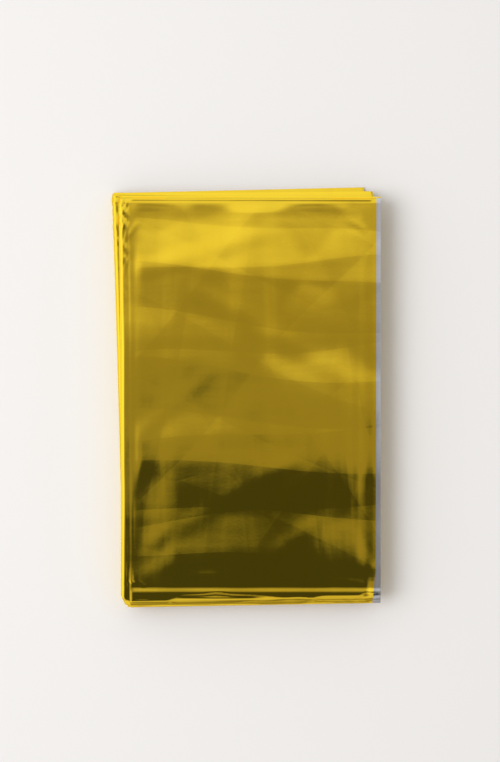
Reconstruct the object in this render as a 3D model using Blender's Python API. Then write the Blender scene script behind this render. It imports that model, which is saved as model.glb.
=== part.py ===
# Emergency foil blanket: one sheet of metallised film, folded back and forth into a flat pack.
# The pack lies on its back. Its strips turn back at the left and right sides, and the lower half
# of the stack is turned a little against the upper half. X runs to the right, Y up the length, Z up.

import math
from collections import namedtuple

import bmesh
import bpy

NAME = "foil_blanket"
MM = 0.001

# A layer's thickness, the gap to the next one, and how far the pack's middle stands higher.
LAYER = 1.0 * MM
GAP = 0.4 * MM
CROWN = 0.6 * MM

# Facets across a layer and round a turn.
RUN_STEPS = 8
TURN_STEPS = 4

FILM_COLOUR = (0.86, 0.62, 0.05, 1.0)
FILM_ROUGHNESS = 0.12

# Where the strip turns back, from the top layer down, with the two cut edges first and last (mm).
# side is +1 at the right and -1 at the left; x is the outermost line of the turn at either end,
# and bow is how far that line stands to the right at half its length.
Fold = namedtuple("Fold", "side x_top x_bottom bow y_top y_bottom")
FOLDS = (
    Fold(+1, 52.3, 50.7, 0.2, 80.1, -82.9),
    Fold(-1, -51.3, -50.2, 0.4, 80.3, -84.4),
    Fold(+1, 53.9, 54.2, -0.2, 80.5, -82.6),
    Fold(-1, -51.6, -50.5, 0.2, 80.2, -84.0),
    Fold(+1, 53.5, 53.4, 0.3, 80.7, -82.2),
    Fold(-1, -53.8, -50.0, 0.6, 81.5, -84.3),
    Fold(+1, 51.1, 53.0, 0.1, 82.3, -82.6),
    Fold(-1, -54.1, -49.7, 0.3, 81.7, -84.0),
    Fold(+1, 50.8, 52.6, -0.2, 82.1, -82.0),
    Fold(-1, -54.3, -49.3, 0.5, 82.0, -84.6),
    Fold(+1, 47.5, 51.9, 0.3, 84.1, -82.3),
)

# Cross-sections from the bottom end to the top end: the share of the length, how full a layer is
# there, how far the top face stands above its even height, and how far the turns draw in (mm).
Station = namedtuple("Station", "share full rise tuck")
STATIONS = (
    Station(0.000, 0.55, -1.10, 1.4),
    Station(0.010, 0.90, -0.60, 0.4),
    Station(0.022, 1.00, -0.10, 0.1),
    Station(0.033, 1.00, 0.18, 0.0),
    Station(0.046, 1.00, -0.10, 0.0),
    Station(0.110, 1.00, -0.05, 0.0),
    Station(0.230, 1.00, 0.10, 0.0),
    Station(0.380, 1.00, -0.05, 0.0),
    Station(0.520, 1.00, 0.10, 0.0),
    Station(0.660, 1.00, 0.00, 0.0),
    Station(0.800, 1.00, 0.10, 0.0),
    Station(0.930, 1.00, 0.00, 0.0),
    Station(0.978, 1.00, -0.20, 0.0),
    Station(0.992, 0.90, -0.60, 0.1),
    Station(1.000, 0.55, -1.10, 0.5),
)

# Soft ridges and troughs that run the length of the pack (mm).
Ridge = namedtuple("Ridge", "x_top x_bottom half_width height")
RIDGES = (
    Ridge(-46.0, -45.0, 5.0, 0.35),
    Ridge(-39.0, -40.0, 5.0, -0.25),
    Ridge(-14.0, -20.0, 12.0, 0.25),
    Ridge(12.0, 16.0, 11.0, -0.25),
    Ridge(38.0, 34.0, 9.0, 0.25),
    Ridge(48.0, 47.0, 5.0, -0.30),
)

LAYERS = len(FOLDS) - 1

# Half the pack's width and length, where its crown ends (mm).
HALF_WIDTH = 54.3
HALF_LENGTH = 84.4


def blend(start, end, share):
    return start + (end - start) * share


def bump(distance, half_width):
    """A smooth hump, 1 at no distance and 0 from half_width on."""
    if abs(distance) >= half_width:
        return 0.0
    return 0.5 + 0.5 * math.cos(math.pi * distance / half_width)


def top_relief(x, y, station):
    """How far the top face stands above its even height at x, y."""
    across = max(0.0, 1 - (x / (HALF_WIDTH * MM)) ** 2)
    along = max(0.0, 1 - (y / (HALF_LENGTH * MM)) ** 2)
    height = CROWN * across * along + station.rise * MM
    for ridge in RIDGES:
        middle = blend(ridge.x_bottom, ridge.x_top, station.share) * MM
        height += ridge.height * MM * bump(x - middle, ridge.half_width * MM) * along
    return height


def layer_height(number, x, y, station):
    """The height of a layer's middle. Layer 0 is the top one, and the lowest lies flat."""
    steps_up = LAYERS - 1 - number
    even = LAYER / 2 + steps_up * (LAYER + GAP)
    return even + top_relief(x, y, station) * steps_up / (LAYERS - 1)


def fold_place(fold, station):
    """x of a fold's outermost line and its y, at one station."""
    bowed = fold.bow * 4 * station.share * (1 - station.share)
    x = blend(fold.x_bottom, fold.x_top, station.share) + bowed
    if fold not in (FOLDS[0], FOLDS[-1]):
        x -= fold.side * station.tuck
    y = blend(fold.y_bottom, fold.y_top, station.share)
    return x * MM, y * MM


def turn_reach(number, x, y, station):
    """The radius of the turn below a layer, measured to the sheet's middle."""
    above = layer_height(number, x, y, station)
    below = layer_height(number + 1, x, y, station)
    return (above - below) / 2


def section(station):
    """Pairs of points on the sheet's two faces, from one cut edge to the other."""
    half = LAYER / 2 * station.full
    pairs = []
    for number in range(LAYERS):
        start, end = FOLDS[number], FOLDS[number + 1]
        start_x, start_y = fold_place(start, station)
        end_x, end_y = fold_place(end, station)
        start_inset = 0.0 if number == 0 else LAYER + GAP / 2
        end_inset = 0.0 if number == LAYERS - 1 else LAYER + GAP / 2
        run_start = start_x - start.side * start_inset
        run_end = end_x - end.side * end_inset
        upper_first = 1 if number % 2 == 0 else -1
        for step in range(RUN_STEPS + 1):
            share = step / RUN_STEPS
            x = blend(run_start, run_end, share)
            y = blend(start_y, end_y, share)
            z = layer_height(number, x, y, station)
            pairs.append(((x, y, z + upper_first * half), (x, y, z - upper_first * half)))
        if number == LAYERS - 1:
            break
        radius = turn_reach(number, run_end, end_y, station)
        middle_z = layer_height(number, run_end, end_y, station) - radius
        for step in range(1, TURN_STEPS):
            angle = math.pi * step / TURN_STEPS
            out, up = math.sin(angle) * end.side, math.cos(angle)
            faces = []
            for reach in (radius + upper_first * half, radius - upper_first * half):
                faces.append((run_end + out * reach, end_y, middle_z + up * reach))
            pairs.append(tuple(faces))
    return pairs


def centre(sections):
    """Moves the points so that the pack is centred on the origin in X and Y."""
    shifts = []
    for axis in (0, 1):
        values = [point[axis] for pairs in sections for pair in pairs for point in pair]
        shifts.append((min(values) + max(values)) / 2)
    for pairs in sections:
        for index, pair in enumerate(pairs):
            pairs[index] = [(x - shifts[0], y - shifts[1], z) for x, y, z in pair]


def loft(sections):
    """One closed body through the sections."""
    shape = bmesh.new()
    rows = []
    for pairs in sections:
        rows.append([[shape.verts.new(point) for point in pair] for pair in pairs])
    last = len(rows[0]) - 1
    for lower, upper in zip(rows, rows[1:]):
        for k in range(last):
            for face in (0, 1):
                corners = (lower[k], lower[k + 1], upper[k + 1], upper[k])
                shape.faces.new([corner[face] for corner in corners])
        for k in (0, last):
            shape.faces.new((lower[k][0], lower[k][1], upper[k][1], upper[k][0]))
    for row in (rows[0], rows[-1]):
        for k in range(last):
            shape.faces.new((row[k][0], row[k + 1][0], row[k + 1][1], row[k][1]))
    bmesh.ops.recalc_face_normals(shape, faces=shape.faces)
    mesh = bpy.data.meshes.new(NAME)
    shape.to_mesh(mesh)
    shape.free()
    return mesh


def film_material():
    material = bpy.data.materials.new("gold_film")
    material.use_nodes = True
    shader = material.node_tree.nodes["Principled BSDF"]
    shader.inputs["Base Color"].default_value = FILM_COLOUR
    shader.inputs["Metallic"].default_value = 1.0
    shader.inputs["Roughness"].default_value = FILM_ROUGHNESS
    return material


def main():
    for thing in list(bpy.data.objects):
        bpy.data.objects.remove(thing, do_unlink=True)
    collection = bpy.data.collections.new(NAME)
    bpy.context.scene.collection.children.link(collection)
    sections = [section(station) for station in STATIONS]
    centre(sections)
    mesh = loft(sections)
    mesh.materials.append(film_material())
    blanket = bpy.data.objects.new(NAME, mesh)
    collection.objects.link(blanket)


main()
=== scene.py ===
import math

import bpy
import numpy as np
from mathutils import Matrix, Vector


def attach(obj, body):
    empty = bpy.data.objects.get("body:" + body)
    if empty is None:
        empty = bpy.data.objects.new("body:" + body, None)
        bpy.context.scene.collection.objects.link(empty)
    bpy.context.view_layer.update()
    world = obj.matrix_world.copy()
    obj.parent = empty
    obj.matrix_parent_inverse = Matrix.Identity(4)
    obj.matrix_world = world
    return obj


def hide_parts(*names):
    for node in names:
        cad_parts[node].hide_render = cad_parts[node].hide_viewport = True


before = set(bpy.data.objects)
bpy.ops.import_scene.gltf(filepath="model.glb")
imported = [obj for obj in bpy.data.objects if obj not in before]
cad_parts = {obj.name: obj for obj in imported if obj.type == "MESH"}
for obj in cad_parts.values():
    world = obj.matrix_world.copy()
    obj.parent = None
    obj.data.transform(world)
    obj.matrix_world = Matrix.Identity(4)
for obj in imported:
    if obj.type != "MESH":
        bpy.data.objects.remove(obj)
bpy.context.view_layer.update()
mm = 0.001

# The folded pack, in mm. The film lies in strips that turn back at the left and right sides.
pack = {
    "layer": 1.0,  # a strip's thickness, all its films together
    "gap": 0.4,  # from one strip to the next
    "crown": 0.6,  # how far the middle of the top stands higher
    "halfWidth": 54.3,
    "halfLength": 84.4,
    "middle": (-0.20, -0.15),  # of the table below, which the frame has at its origin
    "endDrop": 1.1,  # the top face sinks this far at its two ends
    "dropReach": (3.3, 0.5),  # over this length at the bottom and at the top
    "endPress": 0.55,  # thickness left at the very ends
    "pressReach": 2.2,
    "cornerTuck": 1.2,  # the turns draw in this far at the bottom corners
    "tuckReach": 4.5,
    "cornerStep": (-46.6, 1.5, 1.3),  # bottom left corner: left of this x, over this width, this far in
    "stepReach": 4.0,
    "squareness": 0.45,  # of the turns, where 1 is round
    # each turn from the top strip down, with the two ends of the strip first and last:
    # side, x at the top, x at the bottom, bow to the right, y at the top, y at the bottom
    "folds": (
        (+1, 52.3, 50.7, 0.2, 80.0, -82.9),
        (-1, -51.1, -50.2, 0.4, 80.2, -84.6),
        (+1, 53.9, 54.2, -0.2, 79.7, -82.6),
        (-1, -51.4, -50.5, 0.2, 80.4, -84.0),
        (+1, 53.5, 53.4, 0.3, 80.0, -82.2),
        (-1, -54.0, -50.1, 0.6, 81.9, -84.5),
        (+1, 51.6, 53.0, 0.1, 82.8, -82.8),
        (-1, -54.5, -49.9, 0.3, 82.2, -84.7),
        (+1, 51.4, 52.6, -0.2, 82.7, -82.4),
        (-1, -54.8, -49.7, 0.5, 82.6, -85.2),
        (+1, 48.0, 51.9, 0.3, 84.9, -83.0),
    ),
}

# The film. It is folded once across, gold out, then into panels, and that strip into the pack.
film = {
    "cut": (1.6, 2.1),  # the open sheet, in metres
    "panels": 10,
    "thick": 0.012,
    "outerGap": 0.10,  # the outermost film stands this far off the bundle
    "seed": 7,
    "goldEdge": ((0.0, 50.7), (0.08, 51.9), (1.0, 52.3)),  # the cut edge on top: share of the length, x
    "silverEdge": ((0.0, 54.0), (1.0, 54.0)),  # and of the second film beneath it
    "bottomShift": (0.0, -0.5, 0.3, -0.7, -0.2),  # the panel folds at the bottom end, in or out
    "topShift": (0.0, 0.35, -0.4, 0.5, 0.1, 0.3),  # the two cut edges and the folds at the top end
    "secondSeen": (44.0, 5.0),  # the second film follows the top one from this x on, over this width
    "spacing": (0.6, 1.4),  # the room between films varies so much
    # places across the strips: the film's first half, with the top strip apart, then its second half
    "topSteps": 76,
    "topCrowding": 0.75,  # 0 is even, and nearer to 1 they crowd towards the sides
    "stripPlaces": (0.0, 0.012, 0.03, 0.5, 0.97, 0.988, 1.0),
    "secondTopPlaces": (0.0, 0.012, 0.025, 0.05, 0.3, 0.65, 1.0),
    "secondPlaces": (0.0, 0.03, 0.5, 0.97, 1.0),
    # places along a panel: the top one in parts, each from a share of the length to the next with its
    # number of places, then the panels inside and the lowest
    "topParts": ((0, 0.065, 28), (0.065, 0.76, 44), (0.76, 0.975, 30), (0.975, 1, 11)),
    "panelPlaces": (0, 0.02, 0.5, 0.98, 1),
    "lowestPlaces": (0, 0.01, *np.linspace(0.03, 0.97, 11), 0.99, 1),
    "turnAngles": (25, 65, 115, 155),  # stations round a turn
    "foldSteps": 2,  # stations round a panel fold
    "halfSteps": 3,  # and round the fold that joins the two halves
    "smoothAngle": 60,  # folds sharper than this many degrees stay sharp
}

# Soft ridges of the top film, in mm: from x, y to x, y, half width, height.
creaseWidth = 3  # those with a smaller half width are creases with straight flanks
topRidges = (
    # along the bottom edge
    (-27.0, -81.0, 4.0, -81.3, 1.1, 0.13),
    (-44.6, -82.1, -38.8, -82.1, 0.5, 0.04),
    (-46.0, -83.9, -2.0, -83.3, 0.9, 0.12),
    (39.4, -80.8, 45.0, -83.3, 0.7, 0.06),
    # the pressed edge of the strips below, along the left side and the right
    (-46.1, -84.5, -46.2, -69.0, 1.0, 0.16),
    (-44.7, -84.5, -44.8, -70.5, 0.7, 0.09),
    (-46.0, -68.0, -46.3, 30.0, 1.3, 0.05),
    (-46.3, 30.0, -46.9, 79.0, 1.2, 0.09),
    (44.6, -66.0, 45.2, 72.0, 1.6, 0.04),
    # creases at the corners
    (-49.2, -71.2, -45.4, -75.2, 0.8, 0.14),
    (-44.0, -73.6, -41.0, -76.6, 0.7, 0.07),
    (-48.0, 64.0, -43.5, 70.0, 1.3, 0.06),
    (41.0, 71.0, 48.0, 67.0, 1.5, 0.05),
    (30.0, -72.0, 48.0, -75.6, 2.0, 0.03),
    # along the top edge
    (-47.0, 79.6, -6.0, 79.5, 0.9, 0.19),
    (-6.0, 79.5, 50.5, 79.4, 0.9, 0.22),
    (-46.0, 74.8, 40.0, 75.6, 2.8, 0.05),
    # long soft swells of the face
    (-31.0, -86.0, -25.0, 84.0, 12.0, 0.20),
    (-4.0, -86.0, 4.0, 84.0, 13.0, 0.26),
    (29.0, -86.0, 20.0, 84.0, 11.0, 0.18),
    (-52.0, -44.0, 52.0, -30.0, 20.0, 0.18),
    (-52.0, 16.0, 52.0, 34.0, 24.0, 0.22),
    (-40.0, -60.0, 22.0, -24.0, 6.0, 0.08),
    (-24.0, 44.0, 46.0, 4.0, 7.0, 0.08),
    (-44.0, 50.0, 14.0, 68.0, 6.0, 0.06),
    (8.0, -66.0, 40.0, -42.0, 5.0, 0.06),
    (-46.0, -18.0, -14.0, 10.0, 5.0, 0.06),
)

# The brow along the bottom edge, in mm: the top film rises from one y to the next, stays level down
# to the lower line, given by x and y, and falls away from there.
brow = {
    "from": -76.95,
    "crest": -78.5,
    "rise": 0.17,
    "fall": 1.6,
    "fadeIn": (-47.0, 1.8),  # from this x at the left, over this width
    "lower": (
        (-46.0, -82.5),
        (-31.0, -82.3),
        (-27.0, -79.7),
        (-16.0, -79.3),
        (-14.2, -78.5),
        (-9.6, -78.5),
        (-7.5, -79.3),
        (4.0, -79.8),
        (9.4, -80.2),
        (14.0, -81.1),
        (22.0, -80.7),
        (27.0, -81.5),
        (29.5, -80.1),
        (45.5, -80.0),
        (47.6, -78.6),
        (51.9, -78.6),
        (52.2, -80.0),
    ),
}

# The loose cut edge at the right lifts from this x on, over this width, and the second film beneath
# it hangs down beyond it by this slope.
looseEdge = {
    "from": 47.6,
    "width": 3.6,
    "lift": ((0.0, 0.10), (4.2, 0.55), (9.0, 0.30), (16.0, 0.12)),  # distance from the bottom end, lift
    "slope": 0.10,
}

# Pressed folds of the face: zigzags in several directions added up, so that flat facets meet in
# straight folds
faceFolds = {
    "folds": (  # angle, offset and width in mm, slope
        (3, 5.0, 15.0, 0.008),
        (-9, 31.0, 23.0, 0.008),
        (86, 8.0, 19.0, 0.009),
        (94, 47.0, 33.0, 0.009),
        (31, 19.0, 36.0, 0.005),
        (-41, 3.0, 43.0, 0.006),
        (66, 12.0, 29.0, 0.004),
    ),
    "wander": 1.6,  # how far they stray from straight lines, in mm
    "paces": ((17.0, 41.0, 0.0), (-37.0, 23.0, 2.0)),  # of that straying: mm along x and y, start
    "patches": (0.5, 21.0, 33.0, 1.0),  # stronger and weaker by this share, mm along x and y, start
    "rise": 0.3,  # the film stands off the bundle this far in the middle
    # they fade in over these x at the left, and these y at the bottom and at the top
    "inside": ((-46.0, -41.0), (-73.0, -67.0), (78.0, 74.0)),
}

# Beads and crinkles where the outer film turns at the left, and soft swells of the turns at the right
turnDetail = {
    "bead": (0.12, 0.30),  # the film springs up this far beside its turn: top strip, other strips
    "beadReach": 2.2,
    "from": 46.0,  # crinkled above this y
    "to": 72.0,
    "height": 0.36,
    "calm": 0.03,  # height lower down
    "strongest": 0.4,  # this far in from the start of the turn
    "reach": 2.8,
    "uneven": (0.7, 0.3, 0.37, 2.1),  # strength: mean, swing, pace along y, step from strip to strip
    "stagger": (5.3, 1.6, 0.43),  # the facets shift along y: step from strip to strip, swing, pace
    "offset": 0.4,
    "facets": ((0.5, 1.6, 7.3), (0.4, -2.3, 4.3)),  # share of the height, slant, length in mm
    "lowest": -0.06,  # the outer film never sinks deeper, or the film beneath would show
    "swell": 0.05,
    "swells": ((1.0, 0.11, 1.7), (0.6, 0.23, 2.9)),  # share of it, pace along y, step from strip to strip
}


def blend(start, end, share):
    return start + (end - start) * share


def smooth(value):
    value = np.clip(value, 0.0, 1.0)
    return value * value * (3 - 2 * value)


def hump(distance, halfWidth):
    away = np.clip(np.abs(distance) / halfWidth, 0, 1)
    return 1 - away if halfWidth < creaseWidth else 0.5 + 0.5 * np.cos(np.pi * away)


def zigzag(value):
    return 4 * np.abs(value - np.floor(value + 0.5)) - 1


def mmAlong(share):
    # a share of the pack's length, in mm
    return share * 2 * pack["halfLength"]


def dome(x, y):
    # 1 in the pack's middle, 0 at its sides and ends
    across = np.clip(1 - (x / pack["halfWidth"]) ** 2, 0, 1)
    along = np.clip(1 - (y / pack["halfLength"]) ** 2, 0, 1)
    return across * along


def endDrop(share):
    bottomReach, topReach = pack["dropReach"]
    low = np.clip(1 - mmAlong(share) / bottomReach, 0, 1) ** 2
    high = np.clip(1 - mmAlong(1 - share) / topReach, 0, 1) ** 2
    return pack["endDrop"] * (low + high)


def foldLine(row, share):
    side, xTop, xBottom, bow, yTop, yBottom = row
    x = blend(xBottom, xTop, share) + bow * 4 * share * (1 - share)
    return side, x, blend(yBottom, yTop, share)


def edgeLine(name, share):
    places, values = zip(*film[name])
    return np.interp(share, places, values)


def tucked(share):
    return pack["cornerTuck"] * (1 - smooth(mmAlong(share) / pack["tuckReach"]))


def stripHeight(number, x, y, share):
    # the middle of a strip; strip 0 is the top one and the lowest lies flat
    last = len(pack["folds"]) - 2
    up = last - number
    relief = pack["crown"] * dome(x, y) - endDrop(share)
    return pack["layer"] / 2 + up * (pack["layer"] + pack["gap"]) + relief * up / last


def topRelief(x, y):
    height = np.zeros_like(x)
    for x0, y0, x1, y1, halfWidth, rise in topRidges:
        along = np.array((x1 - x0, y1 - y0))
        length = np.hypot(*along)
        along = along / length
        place = (x - x0) * along[0] + (y - y0) * along[1]
        away = (y - y0) * along[0] - (x - x0) * along[1]
        fade = smooth((place + halfWidth) / (2 * halfWidth))
        fade *= smooth((length + halfWidth - place) / (2 * halfWidth))
        height += rise * hump(away, halfWidth) * fade
    return height


def faceHeight(x, y):
    wander = np.zeros_like(x)
    for paceX, paceY, start in faceFolds["paces"]:
        wander += faceFolds["wander"] * np.sin(x / paceX + y / paceY + start)
    height = np.zeros_like(x)
    for angle, offset, width, slope in faceFolds["folds"]:
        across = x * math.cos(math.radians(angle)) + y * math.sin(math.radians(angle)) + offset + wander
        height += slope * width / 2 * zigzag(across / (2 * width))
    swing, paceX, paceY, start = faceFolds["patches"]
    inside = 1 + swing * np.sin(x / paceX + start) * np.sin(y / paceY)
    for at, (low, high) in zip((x, y, y), faceFolds["inside"]):
        inside = inside * smooth((at - low) / (high - low))
    return np.maximum(faceFolds["rise"] * dome(x, y) + inside * height, 0)


def browHeight(x, y, share):
    lower = np.interp(x, *zip(*brow["lower"]))
    past = np.maximum(lower - y, 0)  # beyond the lower line
    start, width = brow["fadeIn"]
    level = brow["rise"] * np.clip((brow["from"] - y) / (brow["from"] - brow["crest"]), 0, 1)
    level = level * smooth((x - start) / width)
    level = level + pack["endDrop"] * np.clip(1 - (mmAlong(share) + past) / pack["dropReach"][0], 0, 1) ** 2
    return level * np.clip(1 - past / brow["fall"], 0, 1) ** 2


def crinkles(y, reach, number):
    # small uneven facets round the turns at the left, strongest near the top
    fade = smooth((y - turnDetail["from"]) / (turnDetail["to"] - turnDetail["from"]))
    strength = blend(turnDetail["calm"], turnDetail["height"], fade)
    mean, swing, pace, step = turnDetail["uneven"]
    strength *= mean + swing * np.sin(pace * y + step * number)
    step, swing, pace = turnDetail["stagger"]
    place = y + step * number + swing * np.sin(pace * y + number)
    facets = turnDetail["offset"]
    for part, slant, length in turnDetail["facets"]:
        facets = facets + part * zigzag((place + slant * reach) / length)
    return strength * facets * (1 - smooth(np.abs(reach - turnDetail["strongest"]) / turnDetail["reach"]))


def bead(reach, number):
    # reach is the distance from the start of the turn, inwards
    height = turnDetail["bead"][min(number, 1)]
    return height * (1 - smooth(reach / turnDetail["beadReach"]))


def swell(y, number):
    wave = sum(part * np.sin(pace * y + step * number) for part, pace, step in turnDetail["swells"])
    return turnDetail["swell"] * wave


def edgeLift(x, share):
    # the loose cut edge on top
    lift = np.interp(mmAlong(share), *zip(*looseEdge["lift"]))
    return lift * smooth((x - looseEdge["from"]) / looseEdge["width"])


def stripRows(places):
    # stations along one half of the film: the strip and the place across it, or the turn below
    # the strip and its angle
    rows = []
    last = len(pack["folds"]) - 2
    for number in range(last + 1):
        if number == 0:
            even = [2 * math.pi * step / film["topSteps"] for step in range(film["topSteps"] + 1)]
            shares = [(angle - film["topCrowding"] * math.sin(angle)) / (2 * math.pi) for angle in even]
        else:
            shares = places
        rows += [("run", number, share) for share in shares]
        if number < last:
            rows += [("turn", number, math.radians(angle)) for angle in film["turnAngles"]]
    return rows


def secondRows():
    # the other half of the film needs fewer stations across the top strip
    rows = [row for row in stripRows(film["secondPlaces"]) if row[0] == "turn" or row[1] > 0]
    return [("run", 0, share) for share in film["secondTopPlaces"]] + rows


def filmHeights():
    # where each film lies in the bundle, from its upper face down
    count = 2 * film["panels"]
    spaces = np.random.default_rng(film["seed"]).uniform(*film["spacing"], count - 3)
    room = pack["layer"] - film["thick"] - 2 * film["outerGap"]
    spaces = np.concatenate(([film["outerGap"]], spaces * room / spaces.sum(), [film["outerGap"]]))
    return pack["layer"] / 2 - film["thick"] / 2 - np.concatenate(([0.0], np.cumsum(spaces)))


def panelShares(panel):
    if panel == 0:
        parts = [np.linspace(*part) for part in film["topParts"]]
        shares = np.concatenate([parts[0]] + [part[1:] for part in parts[1:]])
    else:
        shares = np.array(film["lowestPlaces" if panel == film["panels"] - 1 else "panelPlaces"])
    return shares[::-1] if panel % 2 == 0 else shares


def panelColumns():
    # stations from one cut edge to the other: share of the length; push along y, for each half of the
    # film; height in the bundle, for each half; the panel's number, or -1 in the fold between panels
    heights = filmHeights()
    columns = []

    def ends(panel):
        # how far the two ends of a panel stand in or out
        bottom = film["bottomShift"][panel // 2]
        top = film["topShift"][(panel + 1) // 2]
        return bottom, top

    def heightsOf(panel):
        first, second = (2 * panel, 2 * panel + 1) if panel % 2 == 0 else (2 * panel + 1, 2 * panel)
        return np.array((heights[first], heights[second]))

    for panel in range(film["panels"]):
        low, high = ends(panel)
        for share in panelShares(panel):
            push = -blend(low, 0, share) + blend(0, high, share)
            columns.append((share, push, push, *heightsOf(panel), panel))
        if panel == film["panels"] - 1:
            break
        atBottom = panel % 2 == 0
        share, outward = (0.0, -1) if atBottom else (1.0, 1)
        here, there = heightsOf(panel), heightsOf(panel + 1)
        centre, radius = (here + there) / 2, (here - there) / 2
        push = -low if atBottom else high
        for step in range(1, film["foldSteps"] + 1):
            angle = math.pi * step / (film["foldSteps"] + 1)
            turned = centre + radius * math.cos(angle)
            pushed = push + outward * np.abs(radius) * math.sin(angle)
            columns.append((share, *pushed, *turned, -1))
    return np.array(columns)


def rowPoints(row, columns, half):
    # the points of one station; half is 0 for the first half of the film and 1 for the second
    kind, number, place = row
    share, panel = columns[:, 0], columns[:, 5]
    push, height = columns[:, 1 + half], columns[:, 3 + half]
    folds = pack["folds"]
    last = len(folds) - 2
    facing = 1 if number % 2 == 0 else -1
    fromEnd = mmAlong(np.minimum(share, 1 - share))
    height = height * blend(pack["endPress"], 1, smooth(fromEnd / pack["pressReach"]))
    stepped = 1 - smooth(mmAlong(share) / pack["stepReach"])
    limit, width, inward = pack["cornerStep"]
    inset = pack["layer"] + pack["gap"] / 2 + tucked(share)
    outerFilm = (panel == 0) * (half == 0)

    startSide, startX, startY = foldLine(folds[number], share)
    endSide, endX, endY = foldLine(folds[number + 1], share)
    if number == 0:
        startX = edgeLine("silverEdge" if half else "goldEdge", share)
    runStart = startX if number == 0 else startX - startSide * inset
    runEnd = endX if number == last else endX - endSide * inset

    if kind == "run":
        x = blend(runStart, runEnd, place)
        y = blend(startY, endY, place) + push
        z = stripHeight(number, x, y, share)
        if facing == 1 and number < last:
            reach = x - runEnd
            spring = bead(reach, number) + crinkles(y, reach, number)
            height = height + outerFilm * np.maximum(spring, turnDetail["lowest"])
        if number == 0:
            seenFrom, seenWidth = film["secondSeen"]
            seen = (panel == 0) * (smooth((x - seenFrom) / seenWidth) if half else 1)
            height = height + seen * (topRelief(x, y) + faceHeight(x, y) + browHeight(x, y, share))
            if half == 0:
                height = height + (panel == 0) * edgeLift(x, share)
            else:
                height = height - looseEdge["slope"] * np.maximum(x - edgeLine("goldEdge", share), 0)
            y = y + inward * smooth((limit - x) / width) * stepped
        return np.stack((x, y, z + facing * height), axis=1)

    y = endY + push
    above = stripHeight(number, runEnd, y, share)
    below = stripHeight(number + 1, runEnd, y, share)
    radius, middle = (above - below) / 2, (above + below) / 2
    if facing == 1:
        reach = -place * radius
        spring = bead(0.0, number) * math.cos(place / 2) + crinkles(y, reach, number)
        height = height + outerFilm * np.maximum(spring, turnDetail["lowest"])
    else:
        height = height - (panel == film["panels"] - 1) * (half == 0) * swell(y, number)
    if number == 0:
        y = y + inward * stepped
    out = radius + facing * height
    sideways = math.sin(place) ** pack["squareness"]
    upright = math.copysign(abs(math.cos(place)) ** pack["squareness"], math.cos(place))
    return np.stack((runEnd + endSide * out * sideways, y, middle + out * upright), axis=1)


def halfFold(columns):
    # the first fold of the sheet, at the end of the lowest strip, joins its two halves
    row = ("run", len(pack["folds"]) - 2, 1.0)
    first, second = rowPoints(row, columns, 0), rowPoints(row, columns, 1)
    middle, radius = (first + second) / 2, np.abs(first[:, 2] - second[:, 2]) / 2
    rows = []
    for step in range(1, film["halfSteps"] + 1):
        angle = math.pi * step / (film["halfSteps"] + 1)
        points = blend(first, second, (1 - math.cos(angle)) / 2)
        points[:, 0] = middle[:, 0] + radius * math.sin(angle)
        rows.append(points)
    return rows


def makeFilm():
    columns = panelColumns()
    rows = [rowPoints(row, columns, 0) for row in stripRows(film["stripPlaces"])]
    rows += halfFold(columns)
    rows += [rowPoints(row, columns, 1) for row in reversed(secondRows())]
    points = np.array(rows)
    points[..., 0] -= pack["middle"][0]
    points[..., 1] -= pack["middle"][1]
    points *= mm

    across, along = points.shape[:2]
    index = np.arange(across * along).reshape(across, along)
    corners = (index[:-1, :-1], index[1:, :-1], index[1:, 1:], index[:-1, 1:])
    quads = np.stack(corners, axis=-1).reshape(-1, 4)
    mesh = bpy.data.meshes.new("foilBlanket")
    mesh.from_pydata(points.reshape(-1, 3).tolist(), [], quads.tolist())
    mesh.update()
    mesh.shade_smooth()
    sheet = bpy.data.objects.new("foil_sheet", mesh)
    bpy.context.scene.collection.objects.link(sheet)
    print("film:", across, "by", along, "stations")
    return sheet


class Socket:
    # a node's output, so that shader maths reads as sums
    def __init__(self, shader, link):
        self.shader = shader
        self.link = link

    def maths(self, operation, second=0.0, first=None):
        first = self if first is None else first
        return self.shader.node("ShaderNodeMath", {"operation": operation}, {0: first, 1: second})

    def __add__(self, other):
        return self.maths("ADD", other)

    def __radd__(self, other):
        return self.maths("ADD", self, other)

    def __sub__(self, other):
        return self.maths("SUBTRACT", other)

    def __rsub__(self, other):
        return self.maths("SUBTRACT", self, other)

    def __mul__(self, other):
        return self.maths("MULTIPLY", other)

    def __rmul__(self, other):
        return self.maths("MULTIPLY", self, other)

    def __truediv__(self, other):
        return self.maths("DIVIDE", other)

    def __pow__(self, other):
        return self.maths("POWER", other)

    def atLeast(self, other):
        return self.maths("MAXIMUM", other)

    def size(self):
        return self.maths("ABSOLUTE")


class Shader:
    # a material or world whose nodes are added one by one
    def __init__(self, owner):
        owner.use_nodes = True
        self.nodes, self.links = owner.node_tree.nodes, owner.node_tree.links

    def node(self, kind, settings=None, sockets=None, output=0):
        made = self.nodes.new(kind)
        for name, value in (settings or {}).items():
            if name == "stops":
                while len(made.color_ramp.elements) < len(value):
                    made.color_ramp.elements.new(0.5)
                for element, (place, colour) in zip(made.color_ramp.elements, value):
                    element.position, element.color = place, colour
            else:
                setattr(made, name, value)
        for name, value in (sockets or {}).items():
            self.feed(made.inputs[name], value)
        return Socket(self, made.outputs[output])

    def between(self, value, low, high):
        # 0 at low and 1 at high, eased
        limits = {"Value": value, "From Min": low, "From Max": high}
        return self.node("ShaderNodeMapRange", {"interpolation_type": "SMOOTHSTEP"}, limits)

    def feed(self, socket, value):
        if isinstance(value, Socket):
            self.links.new(value.link, socket)
        else:
            socket.default_value = value


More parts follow.
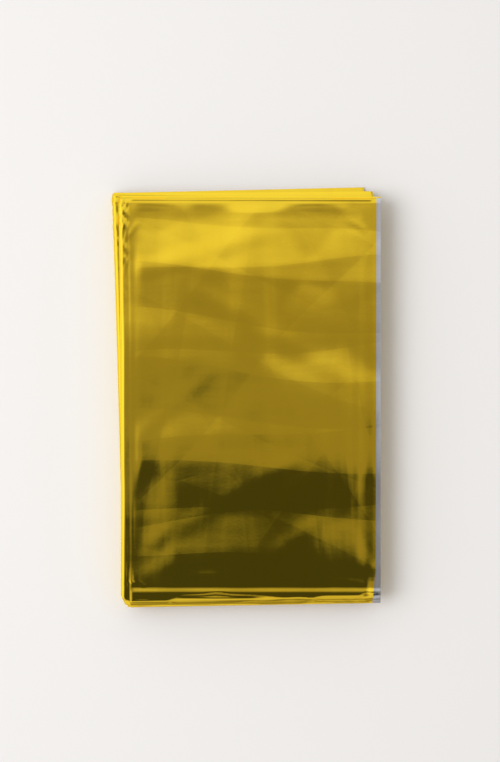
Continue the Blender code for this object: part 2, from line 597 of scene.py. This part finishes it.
foil = {
    "gold": (0.96, 0.71, 0.045, 1.0),
    "amber": (0.93, 0.63, 0.025, 1.0),
    # the silver side: its own silver, darkened and tinted blue-grey as a painted reflection of the
    # surroundings
    "silverAndReflection": (0.62, 0.66, 0.75, 1.0),
    "grazing": (1.0, 0.82, 0.34, 1.0),  # tint of the gold at a low angle
    "drift": 24.0,  # scale of the noise between gold and amber
    "streaks": 420.0,  # scale of the fine streaks along the film, as it came off the roll
    "roughness": (0.035, 0.09),
    "coat": (0.15, 0.06),  # weight, roughness
    # where noise is read: stretched along the pack or across it, set aside, or slanted
    "places": {
        "alongY": {"Scale": (1.0, 0.2, 1.0)},
        "alongX": {"Scale": (0.25, 1.0, 1.0)},
        "aside": {"Location": (0.31, 0.17, 0.0)},
        "slanted": {"Scale": (1.0, 0.4, 1.0), "Rotation": (0.0, 0.0, math.radians(24))},
    },
    # the bump, from the widest waves to the smallest pimples: place, scale, detail, height in mm
    "bumps": (
        ("aside", 26.0, 1.0, 0.5),
        ("alongY", 110.0, 2.0, 0.09),
        ("alongX", 90.0, 2.0, 0.03),
        ("plain", 900.0, 1.0, 0.003),
    ),
    "creases": (("alongY", 70.0), ("slanted", 58.0)),  # place, scale
    "creaseHeight": 0.30,
    "patches": 17.0,  # scale of the patches that the creases lie in
    "creased": (0.42, 0.68),  # they are where its noise is above these values
    "sharpness": 0.6,  # how much the bump adds to the folds of the face, to sharpen them
}


def foilMaterial(name, light, deep, grazing):
    material = bpy.data.materials.new(name)
    shader = Shader(material)
    place = shader.node("ShaderNodeTexCoord", output="Object")

    places = {"plain": place}
    for kind, sockets in foil["places"].items():
        places[kind] = shader.node("ShaderNodeMapping", {}, {"Vector": place, **sockets})

    drift = shader.node("ShaderNodeTexNoise", {}, {"Vector": place, "Scale": foil["drift"], "Detail": 3.0})
    mixed = {"Factor": drift, "A": light, "B": deep}
    tone = shader.node("ShaderNodeMix", {"data_type": "RGBA"}, mixed, output="Result")

    spots = {"Vector": places["alongY"], "Scale": foil["streaks"], "Detail": 3.0}
    streaks = shader.node("ShaderNodeTexNoise", {}, spots)
    low, high = foil["roughness"]
    shine = low + streaks * (high - low)

    relief = 0.0
    for kind, scale, detail, height in foil["bumps"]:
        spots = {"Vector": places[kind], "Scale": scale, "Detail": detail}
        relief = relief + shader.node("ShaderNodeTexNoise", {}, spots) * height

    # thin sharp creases in patches
    spots = {"Vector": places["aside"], "Scale": foil["patches"], "Detail": 1.0}
    patches = shader.node("ShaderNodeTexNoise", {}, spots)
    low, high = foil["creased"]
    patches = shader.node("ShaderNodeMapRange", {}, {"Value": patches, "From Min": low, "From Max": high})
    creases = 0.0
    for kind, scale in foil["creases"]:
        spots = {"Vector": places[kind], "Scale": scale, "Detail": 0.0}
        creases = creases + (shader.node("ShaderNodeTexNoise", {}, spots) - 0.5).size()
    relief = relief + creases * patches * foil["creaseHeight"]

    # the folds of the face once more, with sharp edges
    x, y = [shader.node("ShaderNodeSeparateXYZ", {}, {0: place}, output=axis) / mm for axis in "XY"]
    wander = 0.0
    for paceX, paceY, start in faceFolds["paces"]:
        wander = wander + (x / paceX + y / paceY + start).maths("SINE") * faceFolds["wander"]
    folds = 0.0
    for angle, offset, width, slope in faceFolds["folds"]:
        across = x * math.cos(math.radians(angle)) + y * math.sin(math.radians(angle)) + offset + wander
        folds = folds + (across.maths("PINGPONG", width) - width / 2) * slope
    for at, (low, high) in zip((x, y, y), faceFolds["inside"]):
        folds = folds * shader.between(at, low, high)
    relief = relief + folds * foil["sharpness"]
    bump = shader.node("ShaderNodeBump", {}, {"Strength": 1.0, "Distance": mm, "Height": relief})

    principled = shader.nodes["Principled BSDF"]
    shader.feed(principled.inputs["Base Color"], tone)
    shader.feed(principled.inputs["Roughness"], shine)
    shader.feed(principled.inputs["Normal"], bump)
    principled.inputs["Metallic"].default_value = 1.0
    principled.inputs["Specular Tint"].default_value = grazing
    principled.inputs["Coat Weight"].default_value = foil["coat"][0]
    principled.inputs["Coat Roughness"].default_value = foil["coat"][1]
    return material


def finishFilm(sheet):
    sheet.data.materials.append(foilMaterial("goldSide", foil["gold"], foil["amber"], foil["grazing"]))
    # the silver side's colour is partly its own silver and partly a painted blue-grey reflection of the
    # surroundings
    silverAndReflection = foil["silverAndReflection"]
    sheet.data.materials.append(foilMaterial("silverSideWithReflection", silverAndReflection, silverAndReflection, (1.0, 1.0, 1.0, 1.0)))
    wall = sheet.modifiers.new("thickness", "SOLIDIFY")
    wall.thickness = film["thick"] * mm
    wall.offset = -1.0
    wall.material_offset = 1
    wall.material_offset_rim = 1
    wall.use_even_offset = False
    bpy.ops.object.select_all(action="DESELECT")
    sheet.select_set(True)
    bpy.context.view_layer.objects.active = sheet
    bpy.ops.object.modifier_apply(modifier=wall.name)
    bpy.ops.object.shade_smooth_by_angle(angle=math.radians(film["smoothAngle"]))
    triangles = sum(len(face.vertices) - 2 for face in sheet.data.polygons)
    print("film triangles:", triangles)


studio = {
    "floor": (0.835, 0.835, 0.845, 1.0),
    "floorSize": 6.0,
    "floorDrop": 0.0002,  # it lies this far below the pack
    "floorRoughness": 0.8,
    "sky": 0.84,  # strength of the lit walls and ceiling, before the two leanings below
    "lean": (-0.42, 0.24),  # brighter to the left and to the top
    "leftGlow": 0.4,  # added far to the left
    "leftFade": (-0.55, -0.95),
    "horizon": 0.72,  # strength where the walls meet the floor, which fades into them
    "horizonFade": (0.02, 0.28),
    "ceiling": 0.32,  # strength of the ceiling round its unlit part
    "dark": 0.06,  # and of the unlit part
    "lowest": 0.05,  # sine of the lowest angle at which the ceiling is looked for
    "darkCentre": (0.0, -0.19),  # its middle and half sizes, a metre up
    "darkSize": (0.14, 0.095),
    "darkFade": (1.0, 1.9),
    "ceilingFade": (2.0, 4.2),
    # the walls are lit in bands: height as the sine of its angle, strength
    "bands": (
        (0.0, 0.80),
        (0.10, 0.76),
        (0.17, 0.52),
        (0.24, 0.58),
        (0.30, 1.02),
        (0.38, 1.02),
        (0.44, 0.52),
        (0.52, 0.60),
        (0.60, 1.0),
    ),
    "panels": 7.0,  # lit panels round the walls
    "panelTurn": 0.6,  # radians
    "panelGap": 0.32,  # how much darker the gaps between them are
    "gapEdge": (0.3, 0.8),  # a gap is where a wave round the walls is above these values
    "gapTop": (0.75, 0.5),  # they fade out towards the ceiling
    "warm": (1.0, 0.90, 0.80, 1.0),
    "cool": (0.98, 1.0, 1.0, 1.0),
    "shade": (0.96, 1.0, 0.94, 1.0),
    "key": {"at": (-0.88, -0.02, 1.22), "aim": (-0.22, 0.14, 0.0), "size": 1.1, "spread": 90, "power": 3.3},
}


def makeFloor():
    bpy.ops.mesh.primitive_plane_add(size=studio["floorSize"], location=(0, 0, -studio["floorDrop"]))
    floor = bpy.context.object
    floor.name = "floor"
    material = bpy.data.materials.new("palePaper")
    shader = Shader(material)
    principled = shader.nodes["Principled BSDF"]
    principled.inputs["Base Color"].default_value = studio["floor"]
    principled.inputs["Roughness"].default_value = studio["floorRoughness"]
    floor.data.materials.append(material)


def makeSky():
    world = bpy.data.worlds.new("studio")
    bpy.context.scene.world = world
    shader = Shader(world)
    direction = shader.node("ShaderNodeTexCoord", output="Generated")
    x, y, z = [shader.node("ShaderNodeSeparateXYZ", {}, {0: direction}, output=axis) for axis in "XYZ"]
    up = z.atLeast(studio["lowest"])
    wide = (x / up - studio["darkCentre"][0]) / studio["darkSize"][0]
    deep = (y / up - studio["darkCentre"][1]) / studio["darkSize"][1]
    away = (wide * wide + deep * deep) ** 0.5
    near = shader.between(away, *studio["darkFade"])
    lit = shader.between(away, *studio["ceilingFade"])

    bands = [(place, (value, value, value, 1.0)) for place, value in studio["bands"]]
    walls = shader.node("ShaderNodeValToRGB", {"stops": bands}, {0: z})
    azimuth = y.maths("ARCTAN2", x)
    wave = (azimuth * studio["panels"] + studio["panelTurn"]).maths("SINE")
    gaps = shader.between(wave, *studio["gapEdge"]) * shader.between(z, *studio["gapTop"])
    sky = (studio["sky"] + x * studio["lean"][0] + y * studio["lean"][1]) * walls
    sky = sky * (1 - gaps * studio["panelGap"])
    sky = sky + shader.between(x, *studio["leftFade"]) * studio["leftGlow"]
    sky = studio["horizon"] + shader.between(z, *studio["horizonFade"]) * (sky - studio["horizon"])
    ceiling = studio["dark"] + near * (studio["ceiling"] - studio["dark"])
    strength = ceiling + lit * (sky - ceiling)
    mixed = {"Factor": y * 0.5 + 0.5, "A": studio["warm"], "B": studio["cool"]}
    around = shader.node("ShaderNodeMix", {"data_type": "RGBA"}, mixed, output="Result")
    mixed = {"Factor": near, "A": studio["shade"], "B": studio["warm"]}
    above = shader.node("ShaderNodeMix", {"data_type": "RGBA"}, mixed, output="Result")
    mixed = {"Factor": lit, "A": above, "B": around}
    colour = shader.node("ShaderNodeMix", {"data_type": "RGBA"}, mixed, output="Result")
    background = shader.nodes["Background"]
    shader.feed(background.inputs["Color"], colour)
    shader.feed(background.inputs["Strength"], strength)


def makeKey():
    settings = studio["key"]
    lamp = bpy.data.lights.new("softbox", "AREA")
    lamp.shape = "DISK"
    lamp.size = settings["size"]
    lamp.energy = settings["power"]
    lamp.spread = math.radians(settings["spread"])
    holder = bpy.data.objects.new("softbox", lamp)
    bpy.context.scene.collection.objects.link(holder)
    holder.visible_glossy = False  # the film mirrors the lit walls instead
    holder.location = settings["at"]
    aim = Vector(settings["aim"]) - holder.location
    holder.rotation_euler = aim.to_track_quat("-Z", "Y").to_euler()


view = {
    "height": 0.80,
    "pixelsPerMm": 2.475,
    "centrePixel": (246.5, 396.5),  # of the picture, where the pack's middle lies
    "picture": (500, 762),
    "level": 10.0,  # the height in mm at which the scale is taken
}


def makeCamera():
    data = bpy.data.cameras.new("above")
    camera = bpy.data.objects.new("above", data)
    bpy.context.scene.collection.objects.link(camera)
    wide, high = view["picture"]
    x = (wide / 2 - view["centrePixel"][0]) / view["pixelsPerMm"] - pack["middle"][0]
    y = (view["centrePixel"][1] - high / 2) / view["pixelsPerMm"] - pack["middle"][1]
    camera.location = (x * mm, y * mm, view["height"])
    data.sensor_fit = "VERTICAL"
    data.sensor_height = 24.0
    seen = high / view["pixelsPerMm"]
    data.lens = data.sensor_height * (view["height"] / mm - view["level"]) / seen
    bpy.context.scene.camera = camera


makeCamera()
makeSky()
makeKey()
makeFloor()
print("studio ready")

sheet = makeFilm()
finishFilm(sheet)
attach(sheet, "root")
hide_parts("foil_blanket")

bpy.context.scene.view_settings.view_transform = "Standard"
